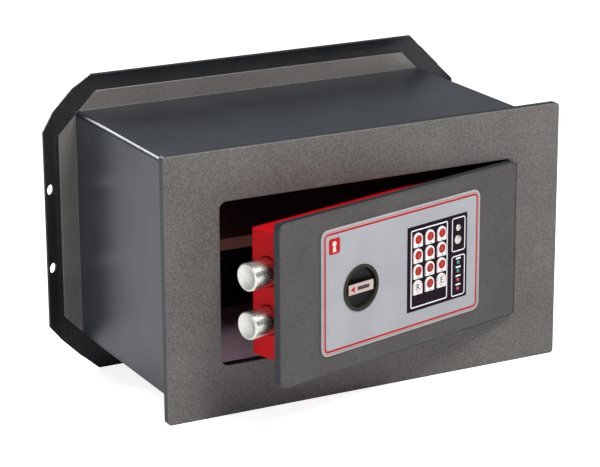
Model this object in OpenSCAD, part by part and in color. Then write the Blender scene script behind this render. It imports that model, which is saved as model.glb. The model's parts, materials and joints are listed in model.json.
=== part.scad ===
// Wall safe with a flush steel door, a round knob and a key panel.
// Millimetres. X runs along the face, +Z is up, and +Y points into the wall.
// The origin is the centre of the back panel's rear face.

/* [Front plate] */
// Width of the front plate
plate_w = 350; // [340:1:380]
// Height of the front plate
plate_h = 213; // [208:1:240]
// Thickness of the front plate
plate_t = 8; // [6:0.5:8]
// Corner radius of the front plate
plate_r = 3; // [1:0.5:6]
// Width of the door opening
open_w = 258; // [258:1:262]
// Height of the door opening
open_h = 131; // [131:1:150]
// Corner radius of the door opening
open_r = 6; // [3:0.5:8]

/* [Body] */
// Outside width of the body
body_w = 324; // [324:1:332]
// Outside height of the body
body_h = 192; // [188:1:200]
// Depth from the face of the front plate to the rear face of the back panel
overall_d = 203; // [180:1:260]
// Thickness of the body and back sheets
sheet = 2; // [1.5:0.1:2.5]
// Outside radius of the body's bent edges
body_r = 3; // [2.5:0.5:5]
// Width of the strips turned outward at the back of the body
strip_w = 15.5; // [10:0.5:18]

/* [Back panel] */
// How far the fold lines lie outside the body
fold_out = 19.3; // [18:0.1:24]
// Size of the 45 degree corners of the back panel
back_chamfer = 18.5; // [12:0.5:22]
// Length of the folded lips
lip_l = 12.2; // [10:0.1:16]
// Angle by which the lips lean forward
lip_lean = 30; // [10:1:40]
// Radius of the holes in the side lips
lip_hole_r = 4.15; // [3:0.05:4.5]
// Distance between the two holes of one side lip
lip_hole_pitch = 67; // [40:1:100]
// Distance from the fold line to a hole's centre
lip_hole_in = 5.8; // [5.5:0.1:7]

/* [Door] */
// Angle at which the door stands open
door_open = 15; // [8:1:90]
// Gap round the closed door
door_gap = 1; // [0.8:0.1:1.5]
// Corner radius of the door
door_r = 5; // [3:0.5:8]
// Distance from the opening's edge to the hinge axis
hinge_out = 20.5; // [20:0.5:21]
// Depth of the hinge axis behind the face
hinge_back = 16; // [16:0.5:18]
// Radius of the hinge pins
hinge_pin_r = 4; // [3:0.5:4]
// Height of the hinge arms above and below the middle
hinge_z = 48; // [46:1:50]

/* [Lock] */
// Left end of the lock cover, from the middle of the door
cover_x0 = -119.5; // [-121:0.5:-119]
// Right end of the lock cover
cover_x1 = 75; // [72:1:78]
// Height of the lock cover
cover_h = 100; // [98:1:104]
// Depth of the lock cover behind the door
cover_d = 33; // [33:1:36]
// Height of the cover's middle above the middle of the door
cover_z = 2.5; // [2:0.5:3]
// Radius of the bolts
bolt_r = 11; // [9:0.5:11]
// Distance between the bolts
bolt_pitch = 38; // [36:1:38]
// Outer end of the bolts when thrown
bolt_end = -140.5; // [-141:0.5:-138]
// Module of the rack and pinion
gear_module = 1; // [1:0.1:1]
// Teeth of the pinion
pinion_teeth = 21; // [21:1:21]

/* [Face of the door] */
// Width of the face panel
panel_w = 172; // [170:1:176]
// Height of the face panel
panel_h = 100; // [98:1:104]
// Width of the key panel
keypad_w = 66; // [66:1:68]
// Height of the key panel
keypad_h = 68.6; // [68:0.2:70]
// Width of a key
key_w = 9.6; // [9:0.1:9.8]
// Height of a key
key_h = 11.4; // [11:0.1:11.6]
// Travel of a key
key_travel = 0.8; // [0.5:0.1:0.9]

/* [Hidden] */
$fn = 96;

eps = 0.01;
edge_cut = 0.8;
body_in_w = body_w - 2 * sheet;
body_in_h = body_h - 2 * sheet;
strip_y = overall_d - 2 * sheet;
back_y = overall_d - sheet;
fold_x = body_w / 2 + fold_out;
fold_z = body_h / 2 + fold_out;
lip_tongue = 1;
lip_end = 0.5;
bend_step = lip_lean / 6;

door_w = open_w - 2 * door_gap;
door_h = open_h - 2 * door_gap;
hinge_x = open_w / 2 + hinge_out;
pivot = [hinge_x, hinge_back, 0];
open_hinge_r = 2;
relief_gap = 0.7;
relief_r = norm([hinge_x - open_w / 2, hinge_back]) + relief_gap;

// Gooseneck arm: it passes behind the edge of the front plate as the door swings
arm_t = 8;
arm_boss_r = 7;
arm_in_r = 28;
arm_out_r = 36.5;
arm_web = 9;
arm_pad_l = 32;
arm_pad_t = 5;
arm_screw_in = [7, 18];
pin_fit = 0.05;
pin_seat = 0.02;
washer_t = 0.4;
washer_gap = 0.05;
ear_t = 10.5;
ear_gap = arm_t + 2 * washer_t + 4 * washer_gap;
ear_w = 8.5;
web_t = 2.4;
pin_head_r = 5.5;
pin_head_t = 2;

// Shelf and mat
shelf_y = 60;
shelf_top = 16;
shelf_t = 1.5;
shelf_lip = 9.6;
shelf_side = 3;
shelf_back = 5;
rail_leg = 12;
rail_t = 1.5;
mat_t = 2;
mat_side = 4;

// Lock behind the door
cover_t = 1.5;
cover_z0 = cover_z - cover_h / 2;
cover_back = plate_t + cover_d;
bolt_y = 24;
bolt_hole_gap = 0.6;
bolt_fit = 0.06;
bolt_inner = -84;
bolt_chamfer = 1.2;
knob_x = -47;
knob_z = -1.3;
pitch_r = gear_module * pinion_teeth / 2;
tip_r = pitch_r + gear_module;
root_r = pitch_r - 1.25 * gear_module;
base_r = pitch_r * cos(20);
gear_y = 19;
gear_t = 8;
rack_y = 19.5;
rack_t = 7;
rack_x0 = -80;
rack_x1 = -34;
rack_top = 18;
rack_pitch_z = knob_z + pitch_r;
backlash = 0.16;
tooth_pitch = PI * gear_module;
bolt_travel = 16.5;
notch_w = 6;
notch_d = 4;
plunger_x = -50;
plunger_r = 2.5;
plunger_fit = 0.08;
plunger_tip = 19;
spindle_r = 4;
spindle_end = 33;
carrier_t = 4;
chassis_t = 2;
guide_x0 = -112;
guide_x1 = -100;

// Door face
panel_t = 1.2;
panel_r = 7;
panel_x = -2;
panel_z = 1;
keypad_x = 36.1;
keypad_z = 0.3;
keypad_proud = 1.6;
keypad_wall = 2;
keypad_web = 1.2;
pocket_gap = 0.2;
pocket_d = 3.6;
key_x0 = 13.7;
key_z0 = 22.9;
key_pitch_x = 13.1;
key_pitch_z = 12.8;
key_gap = 0.25;
key_proud = 1;
key_flange = 0.8;
key_flange_t = 0.8;
key_slack = 0.3;
key_drop = 5.2;
key_spare = 0.7;
board_t = 1.2;
board_gap = 0.3;
keypad_depth = keypad_web - keypad_proud + key_slack + key_flange_t + key_travel + key_spare + board_t;
led_x = 59.3;
led_z0 = -4.6;
led_pitch = 7.2;
led_r = 1.6;
contact_z = [23.8, 13.9];
contact_r = [2.7, 3.9];
cable_w = 18;
cable_t = 0.8;
cable_x = 34;
cable_z = 22;
cable_end = 14;
bezel_r = 18.5;
bezel_in_r = 15.7;
bezel_proud = 2.2;
bezel_depth = 4.8;
bezel_floor = 1.2;
bezel_bottom = 4.5;
knob_r = 15.4;
knob_floor = 3;
knob_disc = 1.4;
grip_w = 27;
grip_h = 9;
grip_front = -1;
inlay_t = 0.6;
inlay_in = 0.5;
screw_xz = [[-112, 44.5], [-112, -39.5], [67, 44.5], [67, -39.5]];
post_r = 4;
post_bore = 2;
shank_r = 1.9;
head_r = 3.6;
head_t = 1.8;

// Draws a part that stays with the body: distances are from the middle of the front face
module in_body() translate([0, -overall_d, 0]) children();

// Draws a part of the closed door and swings it open about the hinge axis
module on_door() in_body() translate(pivot) rotate([0, 0, door_open]) translate(-pivot) children();

// Extrudes a flat X-Z outline along +Y by t, from depth y
module upright(t, y = 0) translate([0, y + t, 0]) rotate([90, 0, 0]) linear_extrude(t) children();

// A rod along +Y
module rod(r, l, x, y, z) translate([x, y, z]) rotate([-90, 0, 0]) cylinder(r = r, h = l);

// A rectangle with round corners; its right-hand ones may have a radius of their own
module rounded(w, h, r, right = 0) {
  q = right > 0 ? right : r;
  translate([-w / 2 + r, -h / 2]) square([w - r - q, h]);
  translate([-w / 2, -h / 2 + r]) square([w / 2, h - 2 * r]);
  translate([0, -h / 2 + q]) square([w / 2, h - 2 * q]);
  for (z = [-1, 1]) {
    translate([-w / 2 + r, z * (h / 2 - r)]) circle(r);
    translate([w / 2 - q, z * (h / 2 - q)]) circle(q);
  }
}

module box(x0, x1, y0, y1, z0, z1) translate([x0, y0, z0]) cube([x1 - x0, y1 - y0, z1 - z0]);

// Takes the four front edges off a plate
module edge_cuts(w, h, c) {
  s = c * sqrt(2);
  for (k = [-1, 1]) {
    translate([0, 0, k * h / 2]) rotate([45, 0, 0]) cube([w + 2 * c, s, s], center = true);
    translate([k * w / 2, 0, 0]) rotate([0, 0, 45]) cube([s, s, h + 2 * c], center = true);
  }
}

// ---- Body ----

module front_plate() color("#6b6864") in_body() difference() {
  upright(plate_t) rounded(plate_w, plate_h, plate_r);
  upright(plate_t + 2, -1) rounded(open_w, open_h, open_r, open_hinge_r);
  edge_cuts(plate_w, plate_h, edge_cut);
}

// One strip, with its ends cut back at 45 degrees
module strip(half, len) upright(sheet, strip_y)
  polygon([[half - eps, -len / 2], [half + strip_w, -len / 2 + strip_w],
    [half + strip_w, len / 2 - strip_w], [half - eps, len / 2]]);

module body_shell() color("#6a6c70") in_body() {
  difference() {
    upright(back_y - plate_t, plate_t) rounded(body_w, body_h, body_r);
    upright(overall_d, plate_t - 1) rounded(body_in_w, body_in_h, body_r - sheet);
  }
  for (side = [0, 180]) {
    rotate([0, side, 0]) strip(body_w / 2, body_h - 2 * body_r);
    rotate([0, 90 + side, 0]) strip(body_h / 2, body_w - 2 * body_r);
  }
}

// A lip leaning forward from a fold line; its ends are cut at 45 degrees
module lip(half, len, holes) translate([half, back_y, 0]) difference() {
  tip = lip_l * [cos(lip_lean), -sin(lip_lean)];
  e = len / 2 - lip_end;
  run = 2 * lip_l;
  out = run / cos(lip_lean);
  intersection() {
    translate([0, 0, -len / 2]) linear_extrude(len) polygon(concat(
      [[-lip_tongue, 0], [0, 0], tip],
      [tip + sheet * [sin(lip_lean), cos(lip_lean)]],
      [for (a = [lip_lean:-bend_step:0]) sheet * [sin(a), cos(a)]],
      [[-lip_tongue, sheet]]));
    upright(3 * lip_l, -2 * lip_l)
      polygon([[-run, -e], [0, -e], [run, out - e], [run, e - out], [0, e], [-run, e]]);
  }
  if (holes) rotate([0, 0, -lip_lean])
    for (k = [-1, 1]) rod(lip_hole_r, sheet + 2, lip_hole_in, -1, k * lip_hole_pitch / 2);
}

module back_panel() color("#3c4044") in_body() {
  c = back_chamfer;
  upright(sheet, back_y)
    polygon([[fold_x, fold_z - c], [fold_x - c, fold_z], [c - fold_x, fold_z], [-fold_x, fold_z - c],
      [-fold_x, c - fold_z], [c - fold_x, -fold_z], [fold_x - c, -fold_z], [fold_x, c - fold_z]]);
  for (side = [0, 180]) {
    rotate([0, side, 0]) lip(fold_x, 2 * (fold_z - c), true);
    rotate([0, 90 + side, 0]) lip(fold_z, 2 * (fold_x - c), false);
  }
}

// Plate behind the opening's edge that the thrown bolts pass through
module bolt_keeper() color("#8d9093") in_body() difference() {
  box(-open_w / 2 - 8, -open_w / 2 - 4, plate_t, plate_t + 32, cover_z - 43, cover_z + 43);
  for (k = [-1, 1]) translate([-open_w / 2 - 9, bolt_y, cover_z + k * bolt_pitch / 2])
    rotate([0, 90, 0]) cylinder(r = bolt_r + 1, h = 6);
}

module shelf() color("#77706c") in_body() {
  w = body_in_w / 2 - shelf_side;
  box(-w, w, shelf_y, back_y - shelf_back, shelf_top - shelf_t, shelf_top);
  box(-w, w, shelf_y, shelf_y + shelf_t, shelf_top - shelf_lip, shelf_top - shelf_t + eps);
}

module shelf_rails() color("#5c5e60") in_body() for (k = [0, 180]) translate([0, shelf_y + 66, 0])
  rotate([0, 0, k]) {
    x = body_in_w / 2;
    box(x - rail_leg, x, -60, 60, shelf_top - shelf_t - rail_t, shelf_top - shelf_t);
    box(x - rail_t, x, -60, 60, shelf_top - shelf_t - rail_leg, shelf_top - shelf_t - rail_t + eps);
  }

module floor_mat() color("#4a3a3e") in_body()
  box(mat_side - body_in_w / 2, body_in_w / 2 - mat_side, plate_t + mat_side, back_y - mat_side,
    -body_in_h / 2, mat_t - body_in_h / 2);

// ---- Hinges ----

// Two ears and a web that hold a hinge pin beside the opening
module hinge_bracket(z) in_body() difference() {
  reach = ear_gap / 2 + ear_t;
  union() {
    for (k = [-1, 1]) translate([0, 0, z + k * (ear_gap + ear_t) / 2])
      box(hinge_x - ear_w, body_in_w / 2, plate_t, hinge_back + 10, -ear_t / 2, ear_t / 2);
    box(body_in_w / 2 - web_t, body_in_w / 2, plate_t, hinge_back + 10, z - reach, z + reach);
  }
  translate([hinge_x, hinge_back, z - reach - 1]) cylinder(r = hinge_pin_r + pin_seat, h = 2 * reach + 2);
}
module hinge_bracket_upper() color("#6e7072") hinge_bracket(hinge_z);
module hinge_bracket_lower() color("#6e7072") hinge_bracket(-hinge_z);

module hinge_pin(z) in_body() translate([hinge_x, hinge_back, z]) {
  reach = ear_gap / 2 + ear_t;
  translate([0, 0, -reach]) cylinder(r = hinge_pin_r, h = 2 * reach);
  translate([0, 0, reach]) cylinder(r = pin_head_r, h = pin_head_t);
}
module hinge_pin_upper() color("silver") hinge_pin(hinge_z);
module hinge_pin_lower() color("silver") hinge_pin(-hinge_z);

module hinge_washers() color("#b08d57") in_body() for (z = [-hinge_z, hinge_z], k = [-1, 1])
  translate([hinge_x, hinge_back, z + k * (arm_t / 2 + washer_gap + washer_t / 2)]) difference() {
    cylinder(r = arm_boss_r, h = washer_t, center = true);
    cylinder(r = hinge_pin_r + pin_fit, h = washer_t + 1, center = true);
  }

// Outline of a gooseneck arm, seen from above, with the hinge axis at [0, 0]
module arm_outline() {
  foot = plate_t - hinge_back;
  lap = 0.1;
  intersection() {
    difference() {
      circle(arm_out_r);
      circle(arm_in_r);
    }
    translate([-arm_out_r - 1, 0]) square([arm_out_r + 1 + arm_web / 2 - lap, arm_out_r + 1]);
  }
  translate([lap - arm_out_r, foot]) square([arm_out_r - arm_in_r - 2 * lap, 1 - foot]);
  translate([-arm_in_r - arm_pad_l, foot]) square([arm_pad_l - 2 * lap, arm_pad_t]);
  difference() {
    union() {
      circle(arm_boss_r);
      translate([-arm_web / 2, 0]) square([arm_web, arm_in_r + 2]);
    }
    circle(hinge_pin_r + pin_fit);
  }
}
module hinge_arm(z) on_door() difference() {
  translate([hinge_x, hinge_back, z - arm_t / 2]) linear_extrude(arm_t) arm_outline();
  for (k = arm_screw_in) rod(shank_r + 0.2, 30, hinge_x - arm_in_r - arm_pad_l + k, 0, z);
}
module hinge_arm_upper() color("#6e7072") hinge_arm(hinge_z);
module hinge_arm_lower() color("#6e7072") hinge_arm(-hinge_z);

module arm_screws() color("silver") on_door() for (z = [-hinge_z, hinge_z], k = arm_screw_in) {
  x = hinge_x - arm_in_r - arm_pad_l + k;
  rod(shank_r, arm_pad_t + 4, x, plate_t - 4, z);
  rod(head_r, head_t, x, plate_t + arm_pad_t, z);
}

// ---- Door ----

// The hinge side is hollowed round the hinge axis so that it clears the opening's edge
module door_plate() color("#66635f") on_door() difference() {
  upright(plate_t) rounded(door_w, door_h, door_r);
  edge_cuts(door_w, door_h, edge_cut);
  translate([hinge_x, hinge_back, -door_h]) cylinder(r = relief_r, h = 2 * door_h);
  translate([keypad_x, 0, keypad_z])
    box(-keypad_w / 2 - pocket_gap, keypad_w / 2 + pocket_gap, -1, pocket_d,
      -keypad_h / 2 - pocket_gap, keypad_h / 2 + pocket_gap);
  box(cable_x - cable_w / 2 - 1, cable_x + cable_w / 2 + 1, 0, plate_t + 1, cable_z - 2, cable_z + 2);
  rod(bezel_in_r + 1 + pocket_gap, bezel_depth + 1, knob_x, -1, knob_z);
  rod(spindle_r + 2 + pin_seat, plate_t + 2, knob_x, -1, knob_z);
  for (z = [-hinge_z, hinge_z], k = arm_screw_in)
    rod(shank_r + pin_seat, 5, hinge_x - arm_in_r - arm_pad_l + k, plate_t - 4, z);
}

module face_panel() color("#c2c4c8") on_door() difference() {
  translate([panel_x, 0, panel_z]) upright(panel_t, -panel_t) rounded(panel_w, panel_h, panel_r);
  translate([keypad_x, 0, keypad_z])
    box(-keypad_w / 2 - pocket_gap, keypad_w / 2 + pocket_gap, -5, 5,
      -keypad_h / 2 - pocket_gap, keypad_h / 2 + pocket_gap);
  rod(bezel_in_r + 1 + pocket_gap, 6, knob_x, -3, knob_z);
}

// A key's outline: flat at the bottom, round at the top, grown by g
module key_outline(g) {
  w = key_w + 2 * g;
  top = key_h - key_drop - key_w / 2;
  translate([-w / 2, -key_drop - g]) square([w, key_drop + g + top]);
  translate([0, top]) circle(w / 2);
}

function key_at(col, row) = [key_x0 + col * key_pitch_x, 0, key_z0 - row * key_pitch_z];

module keypad_frame() color("#1c1620") on_door() {
  depth = keypad_proud + keypad_depth;
  difference() {
    translate([keypad_x, 0, keypad_z]) upright(depth, -keypad_proud)
      square([keypad_w, keypad_h], center = true);
    translate([keypad_x, 0, keypad_z]) upright(depth, keypad_web - keypad_proud)
      square([keypad_w - 2 * keypad_wall, keypad_h - 2 * keypad_wall], center = true);
    for (col = [0:2], row = [0:3]) translate(key_at(col, row)) upright(depth, -depth) key_outline(key_gap);
    for (k = [0:3]) rod(led_r + 0.1, 4, led_x, -3, led_z0 - k * led_pitch);
    for (k = [0, 1]) rod(contact_r[k] + 0.1, 4, led_x, -3, contact_z[k]);
  }
}

module key(col, row) on_door() translate(key_at(col, row)) {
  back = keypad_web - keypad_proud + key_slack;
  upright(key_proud + keypad_proud + back + eps, -keypad_proud - key_proud) key_outline(0);
  upright(key_flange_t, back) key_outline(key_flange - 0.3);
}
module key_1() color("#dcd6d2") key(0, 0);
module key_2() color("#dcd6d2") key(1, 0);
module key_3() color("#dcd6d2") key(2, 0);
module key_4() color("#dcd6d2") key(0, 1);
module key_5() color("#dcd6d2") key(1, 1);
module key_6() color("#dcd6d2") key(2, 1);
module key_7() color("#dcd6d2") key(0, 2);
module key_8() color("#dcd6d2") key(1, 2);
module key_9() color("#dcd6d2") key(2, 2);
module key_reset() color("#dcd6d2") key(0, 3);
module key_0() color("#dcd6d2") key(1, 3);
module key_enter() color("#dcd6d2") key(2, 3);

module keypad_board() color("#2f5f3a") on_door() translate([keypad_x, 0, keypad_z])
  upright(board_t, keypad_depth - board_t)
    square([keypad_w - 2 * keypad_wall - board_gap, keypad_h - 2 * keypad_wall - board_gap], center = true);

module keypad_cable() color("#9aa0a6") on_door()
  box(cable_x - cable_w / 2, cable_x + cable_w / 2, keypad_depth, cable_end,
    cable_z - cable_t / 2, cable_z + cable_t / 2);

module power_contacts() color("#d8d8d4") on_door() for (k = [0, 1])
  rod(contact_r[k], 1.6, led_x, -keypad_proud - 0.5, contact_z[k]);

module led(k) rod(led_r, 1.8, led_x, -keypad_proud - 0.4, led_z0 - k * led_pitch);
module led_green() color("#48c060") on_door() for (k = [0, 1]) led(k);
module led_red() color("#e04030") on_door() for (k = [2, 3]) led(k);

// ---- Knob ----

module knob_bezel() color("#151515") on_door() difference() {
  union() {
    rod(bezel_r, bezel_proud - panel_t, knob_x, -bezel_proud, knob_z);
    rod(bezel_in_r + 1, panel_t + bezel_bottom, knob_x, -panel_t - eps, knob_z);
  }
  rod(bezel_in_r, bezel_proud + 1 + bezel_bottom - bezel_floor, knob_x, -bezel_proud - 1, knob_z);
  rod(bezel_in_r - 3, 12, knob_x, -4, knob_z);
}

module knob() color("#101010") on_door() translate([knob_x, 0, knob_z]) {
  rod(knob_r, knob_disc, 0, knob_floor - knob_disc, 0);
  box(-grip_w / 2, grip_w / 2, grip_front, knob_floor - knob_disc + eps, -grip_h / 2, grip_h / 2);
}

module knob_inlay() color("#b9b6b0") on_door() translate([knob_x, 0, knob_z]) {
  w = grip_w / 2 - inlay_in;
  h = grip_h / 2 - inlay_in;
  box(-w, w, grip_front - inlay_t, grip_front, -h, h);
}

module spindle() color("silver") on_door() difference() {
  rod(spindle_r, spindle_end - knob_floor, knob_x, knob_floor, knob_z);
  translate([knob_x, gear_y + gear_t / 2, knob_z - root_r]) cylinder(r = 1 + pin_seat, h = 2 * root_r);
}

module spindle_bush() color("#b08d57") on_door() difference() {
  rod(spindle_r + 2, plate_t + chassis_t - bezel_depth, knob_x, bezel_depth, knob_z);
  rod(spindle_r + pin_fit, plate_t + 4, knob_x, 0, knob_z);
}

// ---- Rack and pinion ----

// Involute of the base circle; a is the roll angle in degrees
function involute(a) = base_r * [cos(a) + a * PI / 180 * sin(a), sin(a) - a * PI / 180 * cos(a)];
function turned(p, a) = [p[0] * cos(a) - p[1] * sin(a), p[0] * sin(a) + p[1] * cos(a)];
function roll_at(r) = sqrt(pow(r / base_r, 2) - 1) * 180 / PI;
function polar(p) = atan2(p[1], p[0]);

flank_steps = 6;
flank = [for (k = [0:flank_steps]) involute(roll_at(tip_r) * k / flank_steps)];
half_tooth = 90 / pinion_teeth - backlash / pitch_r * 90 / PI + polar(involute(roll_at(pitch_r)));

// One tooth pointing along +X
module tooth() polygon(concat(
  [[root_r - 0.4, -root_r * sin(half_tooth)]],
  [for (p = flank) turned(p, -half_tooth)],
  [for (k = [flank_steps:-1:0]) turned([flank[k][0], -flank[k][1]], half_tooth)],
  [[root_r - 0.4, root_r * sin(half_tooth)]]));

// A tooth stands straight up, between two teeth of the rack
module pinion() color("#9a9c9e") on_door() translate([knob_x, 0, knob_z]) difference() {
  upright(gear_t, gear_y) {
    circle(root_r);
    for (k = [0:pinion_teeth - 1]) rotate(90 + k * 360 / pinion_teeth) tooth();
  }
  rod(spindle_r + pin_seat, gear_t + 2, 0, gear_y - 1, 0);
  translate([0, gear_y + gear_t / 2, -root_r]) cylinder(r = 1 + pin_seat, h = 2 * root_r);
}

// Cross pin that ties the pinion to the spindle
module pinion_pin() color("silver") on_door()
  translate([knob_x, gear_y + gear_t / 2, knob_z - root_r + 1]) cylinder(r = 1, h = 2 * root_r - 2);

// One gap of the rack, open downward; its narrow end is at the tooth root
module rack_gap() {
  tip = gear_module;
  root = 1.25 * gear_module;
  half = tooth_pitch / 4 + backlash / 2;
  polygon([[-half - tip * tan(20), -tip], [half + tip * tan(20), -tip],
    [half - root * tan(20), root], [-half + root * tan(20), root]]);
}

module bolt_carrier() color("#8a8d90") on_door() difference() {
  union() {
    box(bolt_inner, bolt_inner + carrier_t, bolt_y - bolt_r, bolt_y + bolt_r,
      cover_z - bolt_pitch / 2 - bolt_r, cover_z + bolt_pitch / 2 + bolt_r);
    box(rack_x0 - eps, rack_x1, rack_y, rack_y + rack_t, rack_pitch_z - gear_module, rack_top);
  }
  for (k = [-8:3]) translate([knob_x + k * tooth_pitch, 0, rack_pitch_z])
    upright(rack_t + 2, rack_y - 1) rack_gap();
  for (x = [plunger_x, plunger_x - bolt_travel])
    box(x - notch_w / 2, x + notch_w / 2, rack_y - 1, rack_y + rack_t + 1, rack_top - notch_d, rack_top + 1);
  for (k = [-1, 1]) translate([bolt_inner - 1, bolt_y, cover_z + k * bolt_pitch / 2])
    rotate([0, 90, 0]) cylinder(r = shank_r + pin_seat, h = carrier_t + 2);
  translate([bolt_inner + carrier_t, bolt_y, cover_z + bolt_pitch / 2])
    rotate([0, 90, 0]) cylinder(r = head_r + 0.3, h = head_t + 1);
}

// A round bolt with a chamfered nose, bored for its screw
module bolt(z) on_door() translate([bolt_end, bolt_y, z]) rotate([0, 90, 0]) difference() {
  union() {
    cylinder(r1 = bolt_r - bolt_chamfer, r2 = bolt_r, h = bolt_chamfer);
    translate([0, 0, bolt_chamfer]) cylinder(r = bolt_r, h = bolt_inner - bolt_end - bolt_chamfer);
  }
  translate([0, 0, bolt_inner - bolt_end - 10]) cylinder(r = shank_r + pin_seat, h = 11);
}
module bolt_upper() color("#dcdcd2") bolt(cover_z + bolt_pitch / 2);
module bolt_lower() color("#dcdcd2") bolt(cover_z - bolt_pitch / 2);

module bolt_screws() color("silver") on_door() for (k = [-1, 1])
  translate([bolt_inner - 8, bolt_y, cover_z + k * bolt_pitch / 2]) rotate([0, 90, 0]) {
    cylinder(r = shank_r, h = 8 + carrier_t);
    translate([0, 0, 8 + carrier_t]) cylinder(r = head_r, h = head_t);
  }

// ---- Lock case ----

// Sheet on the back of the door that carries the lock
module lock_chassis() color("#a5a7a4") on_door() difference() {
  box(cover_x0 + 4, -24, plate_t, plate_t + chassis_t, cover_z - 36, cover_z + 36);
  rod(spindle_r + 2 + pin_seat, chassis_t + 2, knob_x, plate_t - 1, knob_z);
}

module bolt_guide() color("#7c7f82") on_door() difference() {
  box(guide_x0, guide_x1, plate_t + chassis_t, plate_t + chassis_t + 27.5, cover_z - 34, cover_z + 34);
  for (k = [-1, 1]) translate([guide_x0 - 1, bolt_y, cover_z + k * bolt_pitch / 2])
    rotate([0, 90, 0]) cylinder(r = bolt_r + bolt_fit, h = guide_x1 - guide_x0 + 2);
}

// Bridge that keeps the rack down on the pinion
module rack_guide() color("#7c7f82") on_door() {
  box(-44, -36, plate_t + chassis_t, rack_y + rack_t + 2, rack_top + 0.3, rack_top + 6);
}

module solenoid() color("#74777a") on_door() difference() {
  box(plunger_x - 9, plunger_x + 9, plate_t + chassis_t, 34, 27, 49);
  box(plunger_x - 7.5, plunger_x + 7.5, 12, 35, 29, 47);
  translate([plunger_x, rack_y + rack_t / 2, 26]) cylinder(r = plunger_r + plunger_fit, h = 24);
}

module solenoid_coil() color("#b5642a") on_door()
  translate([plunger_x, rack_y + rack_t / 2, 0]) difference() {
    translate([0, 0, 29.2]) cylinder(r = 7.3, h = 17.6);
    translate([0, 0, 29]) cylinder(r = plunger_r + plunger_fit, h = 18);
  }

module plunger() color("silver") on_door() translate([plunger_x, rack_y + rack_t / 2, plunger_tip])
  cylinder(r = plunger_r, h = 26);

module lock_cover() color("#b81218") on_door() {
  z1 = cover_z0 + cover_h;
  difference() {
    box(cover_x0, cover_x1, plate_t, cover_back, cover_z0, z1);
    box(cover_x0 + cover_t, cover_x1 - cover_t, plate_t - 1, cover_back - cover_t,
      cover_z0 + cover_t, z1 - cover_t);
    for (k = [-1, 1]) translate([cover_x0 - 1, bolt_y, cover_z + k * bolt_pitch / 2])
      rotate([0, 90, 0]) cylinder(r = bolt_r + bolt_hole_gap, h = 6);
    for (p = screw_xz) rod(shank_r + 0.3, 9, p[0], cover_back - 5, p[1]);
  }
}

module cover_posts() color("#a5a7a4") on_door() for (p = screw_xz) difference() {
  rod(post_r, cover_d - cover_t, p[0], plate_t, p[1]);
  rod(post_bore, 20, p[0], cover_back - cover_t - 14, p[1]);
}

module cover_screws() color("silver") on_door() for (p = screw_xz) {
  rod(shank_r, 12, p[0], cover_back - 12, p[1]);
  rod(head_r, head_t, p[0], cover_back, p[1]);
}

// ---- Power and electronics ----

battery_r = 7.1;
battery_l = 50;
battery_x = 8;
battery_z = [-37.3, -22.3, -7.3, 7.7];
battery_y = 20;

module battery_holder() color("#1a1a1a") on_door() difference() {
  box(battery_x - 4, battery_x + battery_l + 4, plate_t, battery_y + 4, -45.6, 16);
  for (z = battery_z) translate([battery_x - 0.5, battery_y, z]) rotate([0, 90, 0])
    cylinder(r = battery_r + 0.3, h = battery_l + 1);
}

module batteries() color("#8d8f3a") on_door() for (z = battery_z)
  translate([battery_x, battery_y, z]) rotate([0, 90, 0]) {
    cylinder(r = battery_r, h = battery_l - 1);
    translate([0, 0, battery_l - 1]) cylinder(r = 2.7, h = 1);
  }

module control_board() color("#2f5f3a") on_door() {
  box(-18, 60, cable_end, cable_end + 1.6, 17.5, 49);
  box(cable_x - 11, cable_x + 11, cable_end + 1.6, cable_end + 5, 19, 25);
  box(-8, 6, cable_end + 1.6, cable_end + 3.4, 26, 40);
}

module board_spacers() color("#d8d4c8") on_door() for (x = [-14, 56], z = [28, 45])
  rod(2.5, cable_end - plate_t, x, plate_t, z);

front_plate();
body_shell();
back_panel();
bolt_keeper();
shelf();
shelf_rails();
floor_mat();
hinge_bracket_upper();
hinge_bracket_lower();
hinge_pin_upper();
hinge_pin_lower();
hinge_washers();
door_plate();
hinge_arm_upper();
hinge_arm_lower();
arm_screws();
face_panel();
keypad_frame();
keypad_board();
keypad_cable();
power_contacts();
led_green();
led_red();
key_1();
key_2();
key_3();
key_4();
key_5();
key_6();
key_7();
key_8();
key_9();
key_reset();
key_0();
key_enter();
knob_bezel();
knob();
knob_inlay();
spindle();
spindle_bush();
pinion();
pinion_pin();
lock_chassis();
board_spacers();
bolt_guide();
rack_guide();
bolt_carrier();
bolt_upper();
bolt_lower();
bolt_screws();
solenoid();
solenoid_coil();
plunger();
lock_cover();
cover_posts();
cover_screws();
battery_holder();
batteries();
control_board();
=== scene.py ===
"""The looks of a wall safe with an electronic lock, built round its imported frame."""
import json
import math

import bmesh
import bpy
from mathutils import Matrix, Vector


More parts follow.
